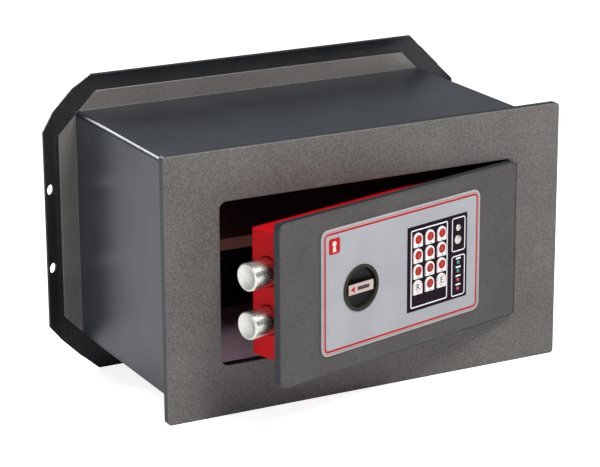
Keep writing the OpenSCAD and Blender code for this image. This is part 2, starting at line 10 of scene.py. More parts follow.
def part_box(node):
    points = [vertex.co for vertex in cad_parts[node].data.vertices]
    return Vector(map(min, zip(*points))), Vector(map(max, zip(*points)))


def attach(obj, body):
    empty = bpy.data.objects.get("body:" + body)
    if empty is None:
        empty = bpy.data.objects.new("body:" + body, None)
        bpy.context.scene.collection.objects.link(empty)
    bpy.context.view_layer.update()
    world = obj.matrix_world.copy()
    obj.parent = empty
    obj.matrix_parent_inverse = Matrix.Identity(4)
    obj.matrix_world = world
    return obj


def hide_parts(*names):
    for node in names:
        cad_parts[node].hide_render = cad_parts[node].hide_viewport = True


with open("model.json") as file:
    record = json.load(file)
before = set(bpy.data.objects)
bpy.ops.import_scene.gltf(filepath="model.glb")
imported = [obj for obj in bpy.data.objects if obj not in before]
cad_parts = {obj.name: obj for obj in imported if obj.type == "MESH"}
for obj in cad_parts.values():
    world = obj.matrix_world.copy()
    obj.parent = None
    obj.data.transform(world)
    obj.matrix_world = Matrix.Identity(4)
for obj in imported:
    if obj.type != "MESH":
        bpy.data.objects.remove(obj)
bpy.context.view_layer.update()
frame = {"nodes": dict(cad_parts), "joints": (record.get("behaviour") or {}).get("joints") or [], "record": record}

MM = 0.001
JOINTS = {joint["name"]: joint for joint in frame["joints"]}
NODE_BODY = {n: b for b, ns in frame["record"]["behaviour"]["bodies"].items() for n in ns}
KEY_NODES = ["key_%d" % n for n in range(10)] + ["key_reset", "key_enter"]


# ---- Places on the door ----

def door_turn():
    """The matrix that swings a piece of the closed door to where the door rests."""
    along = JOINTS["bolt_slide"]["axis"]
    pivot = Vector(JOINTS["door_swing"]["pos_m"])
    turn = Matrix.Rotation(math.atan2(along[1], along[0]), 4, "Z")
    return Matrix.Translation(pivot) @ turn @ Matrix.Translation(-pivot)


DOOR = door_turn()
DOOR_ANGLE = DOOR.to_euler().z
SHUT = DOOR.inverted()


def shut_points(node, nearer=None):
    """A node's vertices as on the closed door, or only those in front of a depth."""
    points = [SHUT @ v.co for v in frame["nodes"][node].data.vertices]
    return [p for p in points if nearer is None or p.y < nearer]


def span(points):
    """Lowest and highest corner of some points."""
    axes = list(zip(*points))
    return Vector(map(min, axes)), Vector(map(max, axes))


def middle(corners):
    return (corners[0] + corners[1]) / 2


def solids(node, shut=True):
    """The boxes of a node's separate solids, on the closed door or in the frame."""
    copy = merged(node)
    if shut:
        copy.transform(SHUT)
    boxes, seen = [], set()
    for start in copy.verts:
        if start.index in seen:
            continue
        seen.add(start.index)
        queue, found = [start], []
        while queue:
            vert = queue.pop()
            found.append(vert.co.copy())
            for edge in vert.link_edges:
                other = edge.other_vert(vert)
                if other.index not in seen:
                    seen.add(other.index)
                    queue.append(other)
        boxes.append(span(found))
    copy.free()
    return boxes


def strip_face():
    """A point 1.3 mm in front of the flat strips round the body's rear end, where the painted light on the strips
    begins.
    """
    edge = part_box("back_panel")[1].x - 20 * MM
    strips = [v.co for v in frame["nodes"]["body_shell"].data.vertices if v.co.x > edge]
    return min(strips, key=lambda p: p.y) - Vector((0, 1.3 * MM, 0))


# ---- Shader trees ----

class Wire:
    """A socket's value; arithmetic on it adds Math nodes."""

    def __init__(self, finish, socket):
        self.finish = finish
        self.socket = socket

    def maths(self, operation, *values):
        return self.finish.add("Math", {"operation": operation}, dict(enumerate(values)))

    def __add__(self, other):
        return self.maths("ADD", self, other)

    def __sub__(self, other):
        return self.maths("SUBTRACT", self, other)

    def __rsub__(self, other):
        return self.maths("SUBTRACT", other, self)

    def __mul__(self, other):
        return self.maths("MULTIPLY", self, other)

    def __gt__(self, other):
        return self.maths("GREATER_THAN", self, other)

    def __lt__(self, other):
        return self.maths("LESS_THAN", self, other)

    __radd__ = __add__
    __rmul__ = __mul__


class Finish:
    """One material: a Principled shader and the nodes that feed it."""

    def __init__(self, name, **constants):
        self.material = bpy.data.materials.new(name)
        self.material.use_nodes = True
        self.nodes = self.material.node_tree.nodes
        self.links = self.material.node_tree.links
        self.shader = self.nodes["Principled BSDF"]
        for name, value in constants.items():
            self.set(name.replace("_", " "), value)

    def set(self, name, value):
        """Gives a socket of the shader a number, a colour or a wire."""
        self.feed(self.shader.inputs[name], value)

    def feed(self, socket, value):
        if isinstance(value, Wire):
            self.links.new(value.socket, socket)
        elif isinstance(value, tuple) and len(value) == 3 and socket.type == "RGBA":
            socket.default_value = (*value, 1)
        else:
            socket.default_value = value

    def add(self, kind, settings=None, inputs=None, out=0):
        """Adds a node: its settings first, then the values or links of its sockets."""
        node = self.nodes.new("ShaderNode" + kind)
        for name, value in (settings or {}).items():
            if name == "stops":
                self.stops(node.color_ramp, value)
            else:
                setattr(node, name, value)
        for name, value in (inputs or {}).items():
            self.feed(node.inputs[name], value)
        return Wire(self, node.outputs[out])

    def stops(self, ramp, stops):
        while len(ramp.elements) < len(stops):
            ramp.elements.new(0.5)
        for element, (place, shade) in zip(ramp.elements, stops):
            element.position = place
            element.color = (shade, shade, shade, 1)

    def place(self, turn=0.0, centre=(0, 0, 0), stretch=(1, 1, 1)):
        """Object coordinates about a centre, turned about Z and stretched."""
        point = self.add("TexCoord", out="Object")
        settings = {"vector_type": "TEXTURE"}
        mapping = {"Vector": point, "Location": centre, "Rotation": (0, 0, turn)}
        return self.add("Mapping", {}, {"Vector": self.add("Mapping", settings, mapping), "Scale": stretch})

    def noise(self, scale, detail=2.0, roughness=0.5, at=None):
        values = {"Vector": at or self.place(), "Scale": scale, "Detail": detail, "Roughness": roughness}
        return self.add("TexNoise", {}, values)

    def cells(self, scale, at=None):
        return self.add("TexVoronoi", {}, {"Vector": at or self.place(), "Scale": scale})

    def ramp(self, value, *stops):
        """Maps a value through (place, shade) stops."""
        return self.add("ValToRGB", {"stops": stops}, {"Fac": value})

    def blend(self, factor, first, second):
        return self.add("Mix", {"data_type": "RGBA"}, {0: factor, 6: first, 7: second}, 2)

    def relief(self, height, distance, strength=1.0):
        """Raises the surface by a height from 0 to 1 over a distance in metres."""
        values = {"Height": height, "Distance": distance, "Strength": strength}
        self.set("Normal", self.add("Bump", {}, values))

    def parts(self, vector):
        """The X, Y and Z of a vector."""
        return [self.add("SeparateXYZ", {}, {"Vector": vector}, k) for k in range(3)]


def shade(code):
    """A display colour such as "6d6966" as linear red, green and blue."""
    values = [int(code[k:k + 2], 16) / 255 for k in (0, 2, 4)]
    return tuple(v / 12.92 if v <= 0.04045 else ((v + 0.055) / 1.055) ** 2.4 for v in values)


def textured_paint(name, deep, pale, gloss, grain=1500, lift=0.00006, fleck=0.35,
                   front=None, turn=0.0, second=("2b3138", "2b3138")):
    """Stove enamel with a fine orange-peel grain and flecks of metal.

    With a point on the front given, whatever lies behind it has the second pair of colours, a painted light: the
    paint made lighter on faces the light catches and darker on faces in shade. The dark blue-grey default is a
    painted shade on side faces."""
    paint = Finish(name, Specular_IOR_Level=0.5, Metallic=0.35)
    fine = paint.ramp(paint.noise(grain, 3, 0.62), (0.36, 0), (0.66, 1))
    drift = paint.ramp(paint.noise(26, 2), (0.3, 0), (0.7, 1))
    flecks = paint.ramp(paint.cells(grain * 0.7), (0.05, 1), (0.22, 0))
    tone = fine * 0.62 + drift * 0.18 + flecks * fleck * 0.5
    colour = paint.blend(tone, shade(deep), shade(pale))
    if front is not None:
        # Painted light: faces more than 1.2 mm behind the front point take the second colours, a painted shade on
        # the side faces of plate and door and a painted light on the body's rear strips.
        behind = paint.parts(paint.place(turn, tuple(front)))[1] > 1.2 * MM
        colour = paint.blend(behind, colour, paint.blend(tone, shade(second[0]), shade(second[1])))
    paint.set("Base Color", colour)
    paint.set("Roughness", gloss + fine * 0.14 - flecks * 0.08)
    paint.relief(fine * 0.7 + paint.noise(grain * 0.28, 2) * 0.6, lift, 0.55)
    return paint.material


def smooth_paint(name, deep, pale, gloss, coat=0.0, lift=0.00003, level=0.5):
    """Enamel that lies smooth, with a faint orange peel and dust marks."""
    paint = Finish(name, Coat_Weight=coat, Coat_Roughness=0.12, Specular_IOR_Level=level)
    peel = paint.noise(420, 2)
    drift = paint.ramp(paint.noise(18, 3), (0.3, 0), (0.7, 1))
    scuffs = paint.ramp(paint.noise(90, 6, 0.7), (0.58, 0), (0.72, 1))
    paint.set("Base Color", paint.blend(drift * 0.7 + peel * 0.3, shade(deep), shade(pale)))
    paint.set("Roughness", gloss + drift * 0.05 + scuffs * 0.08)
    paint.relief(peel, lift, 0.5)
    return paint.material


def brushed_metal(name, deep, pale, gloss, stretch=(60, 60, 1500), turn=0.0):
    """Metal with a drawn grain and a few scratches."""
    metal = Finish(name, Metallic=1.0)
    along = metal.place(turn, stretch=stretch)
    grain = metal.noise(1, 3, 0.6, along)
    cloud = metal.ramp(metal.noise(55, 3), (0.3, 0), (0.7, 1))
    metal.set("Base Color", metal.blend(grain * 0.6 + cloud * 0.4, shade(deep), shade(pale)))
    metal.set("Roughness", gloss + grain * 0.14 + cloud * 0.08)
    metal.relief(grain, 0.00002, 0.5)
    return metal.material


def spangled_zinc(name, deep, pale):
    """Zinc-coated sheet with its crystal pattern."""
    zinc = Finish(name, Metallic=1.0)
    crystals = zinc.add("TexVoronoi", {}, {"Vector": zinc.place(), "Scale": 210.0}, "Color")
    facet = zinc.parts(crystals)[0]
    cloud = zinc.noise(70, 4)
    zinc.set("Base Color", zinc.blend(facet * 0.6 + cloud * 0.4, shade(deep), shade(pale)))
    zinc.set("Roughness", 0.3 + facet * 0.18)
    zinc.relief(zinc.noise(900, 2), 0.00002, 0.4)
    return zinc.material


def turned_nickel(name, centre):
    """Nickel on a turned bar: rings on its nose, fine grooves along its side."""
    nickel = Finish(name, Metallic=1.0)
    x, y, z = nickel.parts(nickel.place(DOOR_ANGLE, centre))
    radius = (y * y + z * z).maths("SQRT", y * y + z * z)
    rings = (radius * 5200).maths("SINE", radius * 5200) * 0.5 + 0.5
    frost = nickel.ramp(nickel.noise(700, 4, 0.6), (0.32, 0), (0.7, 1))
    nose = x < 0.6 * MM
    nickel.set("Base Color", nickel.blend(frost * 0.7 + rings * 0.3, shade("c2c4bd"), shade("f4f3ea")))
    nickel.set("Roughness", 0.24 + frost * 0.1 + nose * 0.16)
    nickel.relief(rings * 0.5 + frost * 0.5, 0.00001, 0.35)
    return nickel.material


def needle_felt(name, deep, pale):
    """Pressed felt with loose fibres."""
    felt = Finish(name, Sheen_Weight=0.6, Sheen_Roughness=0.5, Sheen_Tint=(*shade("c8a8c0"), 1))
    swirl = felt.add("VectorMath", {"operation": "MULTIPLY_ADD"},
                     {0: felt.add("TexNoise", {}, {"Vector": felt.place(), "Scale": 300.0}, "Color"),
                      1: (0.01, 0.01, 0.01), 2: felt.place()})
    fibre = felt.noise(1700, 5, 0.7, swirl)
    patch = felt.ramp(felt.noise(45, 3), (0.3, 0), (0.7, 1))
    felt.set("Base Color", felt.blend(fibre * 0.7 + patch * 0.3, shade(deep), shade(pale)))
    felt.set("Roughness", 0.9 + fibre * 0.1)
    felt.relief(fibre, 0.0006, 0.9)
    return felt.material


def printed_film(name, deep, pale, gloss=0.34, level=0.4):
    """Screen-printed film: an even ink over a fine satin grain."""
    film = Finish(name, Specular_IOR_Level=level)
    grain = film.noise(2400, 2, 0.6)
    drift = film.ramp(film.noise(30, 2), (0.35, 0), (0.65, 1))
    film.set("Base Color", film.blend(grain * 0.6 + drift * 0.4, shade(deep), shade(pale)))
    film.set("Roughness", gloss + grain * 0.12)
    film.relief(grain, 0.000012, 0.5)
    return film.material


def moulded_plastic(name, deep, pale, gloss=0.4, lift=0.00004, level=0.5):
    """Moulded plastic with a sparked grain."""
    plastic = Finish(name, Specular_IOR_Level=level)
    spark = plastic.ramp(plastic.cells(1900), (0.1, 0), (0.6, 1))
    drift = plastic.noise(60, 3)
    plastic.set("Base Color", plastic.blend(spark * 0.5 + drift * 0.5, shade(deep), shade(pale)))
    plastic.set("Roughness", gloss + spark * 0.12)
    plastic.relief(spark, lift, 0.4)
    return plastic.material


def lamp_lens(name, glow, body):
    """A tinted lens with a bright core."""
    lens = Finish(name, Coat_Weight=1.0, Coat_Roughness=0.05, Emission_Strength=0.12)
    core = lens.noise(900, 3)
    lens.set("Base Color", lens.blend(core, shade(body), shade(glow)))
    lens.set("Emission Color", lens.blend(core, shade(body), shade(glow)))
    lens.set("Roughness", 0.15 + core * 0.1)
    return lens.material


def circuit_board(name):
    """Solder mask over copper tracks and pads."""
    board = Finish(name, Coat_Weight=0.4)
    x, _, z = board.parts(board.place(DOOR_ANGLE))
    comb = (x * 2400).maths("SINE", x * 2400) > 0.55
    lanes = (z * 1900).maths("SINE", z * 1900) > 0.7
    masked = board.noise(130, 1) > 0.5
    copper = comb * masked + lanes * (1 - masked)
    pads = board.cells(420) < 0.22
    mask = board.blend(copper, shade("1f4a2c"), shade("3f7d48"))
    board.set("Base Color", board.blend(pads, mask, shade("c9b37a")))
    board.set("Metallic", pads * 0.8)
    board.set("Roughness", 0.45 - pads * 0.15)
    board.relief(copper, 0.00003)
    return board.material


def ribbon_sheath(name):
    """Flat cable: one ridge for each wire."""
    sheath = Finish(name)
    x = sheath.parts(sheath.place(DOOR_ANGLE))[0]
    ridge = (x * 5000).maths("SINE", x * 5000) * 0.5 + 0.5
    sheath.set("Base Color", sheath.blend(ridge, shade("6c7176"), shade("a9aeb4")))
    sheath.set("Roughness", 0.5 + ridge * 0.1)
    sheath.relief(ridge, 0.0003)
    return sheath.material


def copper_winding(name):
    """Enamelled wire wound layer on layer."""
    coil = Finish(name, Metallic=0.85, Coat_Weight=0.5)
    z = coil.parts(coil.place())[2]
    turns = (z * 12000).maths("SINE", z * 12000) * 0.5 + 0.5
    coil.set("Base Color", coil.blend(turns, shade("6d2f12"), shade("c87838")))
    coil.set("Roughness", 0.4 - turns * 0.12)
    coil.relief(turns, 0.00025)
    return coil.material


def battery_sleeve(name):
    """Shrink sleeve: dark with a copper-coloured end band."""
    sleeve = Finish(name, Coat_Weight=0.5)
    x = sleeve.parts(sleeve.place(DOOR_ANGLE))[0]
    band = (x * 260).maths("SINE", x * 260) > 0.45
    sleeve.set("Base Color", sleeve.blend(band, shade("22252b"), shade("b57a3a")))
    sleeve.set("Metallic", band * 0.7)
    sleeve.set("Roughness", 0.32 + sleeve.noise(300) * 0.1)
    return sleeve.material


SLOT_FINISH = {
    # face_paint: the front plate's side faces and the edges of its opening are dark blue-grey, a painted shade.
    "face_paint": textured_paint("face_paint", "4d4a48", "7e7b79", 0.48, 760, 0.00007,
                                 front=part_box("front_plate")[0]),
    # body_paint: the strips round the rear end take colours lighter than the plate's, a painted light on faces the
    # key light catches; the rest of the same sheet keeps the dark paint.
    "body_paint": textured_paint("body_paint", "1f2329", "4a4f56", 0.29, 1300, 0.00003, 0.25,
                                 front=strip_face(), second=("5e5b59", "928e8b")),
    "back_paint": textured_paint("back_paint", "17191b", "3b3d40", 0.36, 900, 0.00005),
    "plain_steel": brushed_metal("plain_steel", "5c5e60", "8a8c8e", 0.38),
    "bright_steel": brushed_metal("bright_steel", "a2a4a6", "d4d5d6", 0.2),
    "zinc_sheet": spangled_zinc("zinc_sheet", "84878a", "b4b7ba"),
    "screw_zinc": brushed_metal("screw_zinc", "9a9c98", "d0d0c8", 0.28, (700, 700, 700)),
    "bronze": brushed_metal("bronze", "7d5c30", "b98d4e", 0.3, (400, 400, 1500)),
    "shelf_paint": smooth_paint("shelf_paint", "8a4d48", "a96a64", 0.55),
    "felt": needle_felt("felt", "826679", "ccb0c2"),
    "panel_print": printed_film("panel_print", "96989d", "a6a8ad", 0.46, 0.3),
    "keypad_dark": printed_film("keypad_dark", "10020c", "1c0616", 0.3, 0.08),
    "key_white": moulded_plastic("key_white", "dcdadb", "f0eeee", 0.36, 0.00002),
    "board_green": circuit_board("board_green"),
    "ribbon_grey": ribbon_sheath("ribbon_grey"),
    "contact_nickel": brushed_metal("contact_nickel", "b9bab4", "e6e6de", 0.3, (900, 900, 900)),
    "lens_green": lamp_lens("lens_green", "1e9c78", "0a5a46"),
    "lens_red": lamp_lens("lens_red", "c0303e", "701018"),
    "knob_black": moulded_plastic("knob_black", "030302", "0a0a08", 0.3, level=0.25),
    "inlay_grey": printed_film("inlay_grey", "b3a29c", "c6b8b2"),
    "red_paint": smooth_paint("red_paint", "b00008", "c8040c", 0.4, 0.0, level=0.15),
    "coil_copper": copper_winding("coil_copper"),
    "holder_black": moulded_plastic("holder_black", "141414", "242424", 0.5),
    "battery_wrap": battery_sleeve("battery_wrap"),
    "spacer_white": moulded_plastic("spacer_white", "c8c6be", "e2e0d8", 0.5),
}
INK_RED = printed_film("ink_red", "a60c08", "b8160f", 0.4, 0.15)
INK_ROSE = printed_film("ink_rose", "b8564a", "c66c5e", 0.4, 0.2)
INK_WHITE = printed_film("ink_white", "dedce4", "f0eef4")
INK_DARK = printed_film("ink_dark", "2a2624", "3c3634")
INK_PALE = printed_film("ink_pale", "d6cbc2", "e6dcd4")
INK_STONE = printed_film("ink_stone", "5c5444", "6e6654", 0.4, 0.2)
# The door plate's paint is a darker copy of the face paint, a painted shade for the door turned away from the
# light, and its side faces are dark blue-grey, a painted shade.
DOOR_SHADED_PAINT = textured_paint("door_shaded_paint", "3b3a39", "615f5e", 0.48, 760, 0.00007,
                            front=DOOR @ span(shut_points("door_plate"))[0], turn=DOOR_ANGLE)
BEZEL_PLASTIC = moulded_plastic("bezel_plastic", "181913", "27281f", 0.42, level=0.25)

NODE_SLOT = {
    "front_plate": "face_paint", "body_shell": "body_paint", "back_panel": "back_paint",
    "bolt_keeper": "zinc_sheet", "shelf": "shelf_paint", "shelf_rails": "plain_steel",
    "floor_mat": "felt", "hinge_bracket_upper": "plain_steel", "hinge_bracket_lower": "plain_steel",
    "hinge_pin_upper": "bright_steel", "hinge_pin_lower": "bright_steel", "hinge_washers": "bronze",
    "door_plate": "face_paint", "hinge_arm_upper": "plain_steel", "hinge_arm_lower": "plain_steel",
    "arm_screws": "screw_zinc", "face_panel": "panel_print", "keypad_frame": "keypad_dark",
    "keypad_board": "board_green", "keypad_cable": "ribbon_grey", "power_contacts": "contact_nickel",
    "led_green": "lens_green", "led_red": "lens_red", "knob_bezel": "knob_black",
    "knob": "knob_black", "knob_inlay": "inlay_grey", "spindle": "bright_steel",
    "spindle_bush": "bronze", "pinion": "plain_steel", "pinion_pin": "bright_steel",
    "lock_chassis": "zinc_sheet", "board_spacers": "spacer_white", "bolt_guide": "plain_steel",
    "rack_guide": "plain_steel", "bolt_carrier": "zinc_sheet", "bolt_upper": "bolt_nickel",
    "bolt_lower": "bolt_nickel", "bolt_screws": "screw_zinc", "solenoid": "plain_steel",
    "solenoid_coil": "coil_copper", "plunger": "bright_steel", "lock_cover": "red_paint",
    "cover_posts": "zinc_sheet", "cover_screws": "screw_zinc", "battery_holder": "holder_black",
    "batteries": "battery_wrap", "control_board": "board_green",
    **{key: "key_white" for key in KEY_NODES},
}


# ---- Making pieces ----

def merged(node):
    """A node's mesh as a bmesh with its loose triangles joined."""
    copy = bmesh.new()
    copy.from_mesh(frame["nodes"][node].data)
    bmesh.ops.remove_doubles(copy, verts=copy.verts, dist=1e-6)
    copy.verts.index_update()
    return copy


def show(name, mesh, finish, body, on_door=False, stands_for=()):
    """Puts a mesh in the scene as a finished piece that rides on a body."""
    piece = bpy.data.objects.new(name, mesh)
    bpy.context.scene.collection.objects.link(piece)
    if on_door:
        mesh.transform(DOOR)
    mesh.materials.clear()
    mesh.materials.append(finish)
    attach(piece, body)
    if stands_for:
        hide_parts(*stands_for)
    return piece


def evaluated(piece):
    """The piece's mesh with its modifiers applied; the piece itself is removed."""
    graph = bpy.context.evaluated_depsgraph_get()
    mesh = bpy.data.meshes.new_from_object(piece.evaluated_get(graph))
    bpy.data.objects.remove(piece)
    return mesh


def weighted(mesh):
    """Smooth shading in which large flat faces keep their flatness."""
    maker = bpy.data.objects.new("maker", mesh)
    bpy.context.scene.collection.objects.link(maker)
    mesh.shade_smooth()
    maker.modifiers.new("shading", "WEIGHTED_NORMAL").keep_sharp = True
    return evaluated(maker)


def rounded_mesh(mesh, width, segments=3, angle=32):
    """Rounds a mesh's sharp edges and shades it smoothly."""
    maker = bpy.data.objects.new("maker", mesh)
    bpy.context.scene.collection.objects.link(maker)
    mesh.shade_smooth()
    bevel = maker.modifiers.new("round", "BEVEL")
    bevel.width = width
    bevel.segments = segments
    bevel.limit_method = "ANGLE"
    bevel.angle_limit = math.radians(angle)
    bevel.use_clamp_overlap = False
    bevel.loop_slide = False
    maker.modifiers.new("shading", "WEIGHTED_NORMAL").keep_sharp = True
    return evaluated(maker)


def soften(node, width, segments=3, finish=None, angle=32):
    """Stands for a node with its edges rounded as paint or a press leaves them."""
    copy = merged(node)
    mesh = bpy.data.meshes.new(node + "_finished")
    copy.to_mesh(mesh)
    copy.free()
    slot = NODE_SLOT[node]
    mesh = rounded_mesh(mesh, width, segments, angle)
    return show(node + "_finished", mesh, finish or SLOT_FINISH[slot], NODE_BODY[node],
                stands_for=[node])


def lathe(profile, centre, axis="Y", steps=72):
    """A closed mesh turned from (along, radius) points about an axis through a centre."""
    shape = bmesh.new()
    rings = []
    for along, radius in profile:
        count = steps if radius > 0 else 1
        ring = []
        for k in range(count):
            a = 2 * math.pi * k / steps
            point = (along, radius * math.cos(a), radius * math.sin(a))
            ring.append(shape.verts.new(point))
        rings.append(ring)
    for first, second in zip(rings, rings[1:]):
        for k in range(steps):
            corners = [first[k % len(first)], first[(k + 1) % len(first)],
                       second[(k + 1) % len(second)], second[k % len(second)]]
            shape.faces.new(list(dict.fromkeys(corners)))
    bmesh.ops.recalc_face_normals(shape, faces=shape.faces)
    mesh = bpy.data.meshes.new("turned")
    shape.to_mesh(mesh)
    shape.free()
    turn = {"X": Matrix.Identity(4), "Y": Matrix.Rotation(math.pi / 2, 4, "Z")}[axis]
    mesh.transform(Matrix.Translation(centre) @ turn)
    mesh.shade_smooth()
    mesh.set_sharp_from_angle(angle=math.radians(34))
    return mesh


def extruded(outline, front, back, centre=(0, 0)):
    """A closed plate from an outline of (x, z) points, between two depths."""
    shape = bmesh.new()
    rings = []
    for depth in (front, back):
        rings.append([shape.verts.new((centre[0] + x, depth, centre[1] + z)) for x, z in outline])
    shape.faces.new(rings[0])
    shape.faces.new(list(reversed(rings[1])))
    count = len(outline)
    for k in range(count):
        n = (k + 1) % count
        shape.faces.new([rings[0][n], rings[0][k], rings[1][k], rings[1][n]])
    bmesh.ops.recalc_face_normals(shape, faces=shape.faces)
    mesh = bpy.data.meshes.new("plate")
    shape.to_mesh(mesh)
    shape.free()
    return mesh


def rounded_outline(width, height, radius, steps=8, right=None):
    """A rectangle of (x, z) points with round corners; the right-hand ones may differ."""
    points = []
    for k, (sx, sz) in enumerate(((1, 1), (-1, 1), (-1, -1), (1, -1))):
        bend = right if right is not None and sx > 0 else radius
        for n in range(steps + 1):
            a = math.pi / 2 * (k + n / steps)
            points.append((sx * (width / 2 - bend) + bend * math.cos(a),
                           sz * (height / 2 - bend) + bend * math.sin(a)))
    return points


def joined(meshes):
    """Several meshes as one."""
    shape = bmesh.new()
    for mesh in meshes:
        shape.from_mesh(mesh)
    whole = bpy.data.meshes.new("joined")
    shape.to_mesh(whole)
    shape.free()
    return whole


def disc(radius, steps=40):
    return [(radius * math.cos(2 * math.pi * k / steps), radius * math.sin(2 * math.pi * k / steps))
            for k in range(steps)]


def rectangle(width, height):
    x, z = width / 2, height / 2
    return [(-x, -z), (x, -z), (x, z), (-x, z)]


# ---- Geometry Nodes ----

class Recipe:
    """A Geometry Nodes tree with named inputs, ended by Realize Instances and Set Material."""

    def __init__(self, name, **sizes):
        self.tree = bpy.data.node_groups.new(name, "GeometryNodeTree")
        self.tree.is_modifier = True
        self.sockets = {}
        self.tree.interface.new_socket("Geometry", in_out="OUTPUT", socket_type="NodeSocketGeometry")
        self.tree.interface.new_socket("Geometry", in_out="INPUT", socket_type="NodeSocketGeometry")
        for size, value in sizes.items():
            socket = self.tree.interface.new_socket(size, in_out="INPUT", socket_type="NodeSocketFloat")
            socket.default_value = value
            self.sockets[size] = socket.identifier
        finish = self.tree.interface.new_socket("Finish", in_out="INPUT", socket_type="NodeSocketMaterial")
        self.sockets["Finish"] = finish.identifier
        self.inputs = self.tree.nodes.new("NodeGroupInput").outputs

    def add(self, kind, settings=None, inputs=None, out=0):
        """Adds a node, its settings first, and gives its output socket."""
        node = self.tree.nodes.new(kind)
        for name, value in (settings or {}).items():
            setattr(node, name, value)
        for name, value in (inputs or {}).items():
            if isinstance(value, bpy.types.NodeSocket):
                self.tree.links.new(value, node.inputs[name])
            else:
                node.inputs[name].default_value = value
        return node.outputs[out]

    def maths(self, operation, *values):
        return self.add("ShaderNodeMath", {"operation": operation}, dict(enumerate(values)))

    def vector(self, x=0.0, y=0.0, z=0.0):
        return self.add("ShaderNodeCombineXYZ", {}, {"X": x, "Y": y, "Z": z})

    def end(self, geometry):
        real = self.add("GeometryNodeRealizeInstances", {}, {"Geometry": geometry})
        done = self.add("GeometryNodeSetMaterial", {}, {"Geometry": real, "Material": self.inputs["Finish"]})
        self.tree.links.new(done, self.tree.nodes.new("NodeGroupOutput").inputs[0])

    def run(self, finish, points=((0, 0, 0),), edges=(), **sizes):
        """The tree's result as a plain mesh, grown on some points or the edges between them."""
        base = bpy.data.meshes.new("base")
        base.from_pydata([tuple(p) for p in points], list(edges), [])
        maker = bpy.data.objects.new("maker", base)
        bpy.context.scene.collection.objects.link(maker)
        grow = maker.modifiers.new("grow", "NODES")
        grow.node_group = self.tree
        grow[self.sockets["Finish"]] = finish
        for size, value in sizes.items():
            grow[self.sockets[size]] = float(value)
        return evaluated(maker)


def frame_recipe():
    """A line of print that runs round a rectangle with rounded corners."""
    recipe = Recipe("printed_frame", Width=0.1, Height=0.05, Corner=0.005, Line=0.001, Thickness=0.0001)
    given = recipe.inputs
    path = recipe.add("GeometryNodeCurvePrimitiveQuadrilateral", {},
                      {"Width": given["Width"], "Height": given["Height"]})
    path = recipe.add("GeometryNodeFilletCurve", {"mode": "POLY"},
                      {"Curve": path, "Radius": given["Corner"], "Count": 8})
    section = recipe.add("GeometryNodeCurvePrimitiveQuadrilateral", {},
                         {"Width": given["Line"], "Height": given["Thickness"]})
    recipe.end(recipe.add("GeometryNodeCurveToMesh", {}, {"Curve": path, "Profile Curve": section}))
    return recipe


def screw_recipe():
    """Pan-head screws with a cross recess, their heads towards +Z of the maker's points."""
    recipe = Recipe("cross_screws", Head=0.0036, Rise=0.0018, Shank=0.0019, Length=0.01, Slot=0.0011)
    given = recipe.inputs
    ball = recipe.add("GeometryNodeMeshUVSphere", {}, {"Segments": 32, "Rings": 20, "Radius": 1.0})
    height = recipe.add("ShaderNodeSeparateXYZ", {}, {0: recipe.add("GeometryNodeInputPosition")}, 2)
    dome = recipe.maths("MULTIPLY", recipe.maths("MAXIMUM", height, 0.0), given["Rise"])
    flat = recipe.add("ShaderNodeVectorMath", {"operation": "MULTIPLY"},
                      {0: recipe.add("GeometryNodeInputPosition"),
                       1: recipe.vector(given["Head"], given["Head"], 0.0)})
    lifted = recipe.add("ShaderNodeVectorMath", {"operation": "ADD"}, {0: flat, 1: recipe.vector(z=dome)})
    head = recipe.add("GeometryNodeSetPosition", {}, {"Geometry": ball, "Position": lifted})
    long = recipe.maths("MULTIPLY", given["Head"], 1.15)
    deep = recipe.maths("MULTIPLY", given["Rise"], 1.3)
    bars = []
    for size in ((long, given["Slot"], deep), (given["Slot"], long, deep)):
        bar = recipe.add("GeometryNodeMeshCube", {}, {"Size": recipe.vector(*size)})
        bars.append(recipe.add("GeometryNodeTransform", {},
                               {"Geometry": bar, "Translation": recipe.vector(z=given["Rise"])}))
    for bar in bars:
        cut = recipe.tree.nodes.new("GeometryNodeMeshBoolean")
        cut.operation = "DIFFERENCE"
        recipe.tree.links.new(head, cut.inputs["Mesh 1"])
        recipe.tree.links.new(bar, cut.inputs["Mesh 2"])
        head = cut.outputs["Mesh"]
    shank = recipe.add("GeometryNodeMeshCylinder", {},
                       {"Vertices": 24, "Radius": given["Shank"], "Depth": given["Length"]})
    half = recipe.maths("MULTIPLY", given["Length"], -0.5)
    shank = recipe.add("GeometryNodeTransform", {}, {"Geometry": shank, "Translation": recipe.vector(z=half)})
    join = recipe.tree.nodes.new("GeometryNodeJoinGeometry")
    for part in (head, shank):
        recipe.tree.links.new(part, join.inputs[0])
    spots = recipe.add("GeometryNodeMeshToPoints", {}, {"Mesh": given["Geometry"]})
    turned = recipe.add("FunctionNodeRandomValue", {"data_type": "FLOAT"}, {2: 0.0, 3: 6.28, "Seed": 7}, 1)
    spin = recipe.vector(z=turned)
    recipe.end(recipe.add("GeometryNodeInstanceOnPoints", {},
                          {"Points": spots, "Instance": join.outputs[0], "Rotation": spin}))
    return recipe


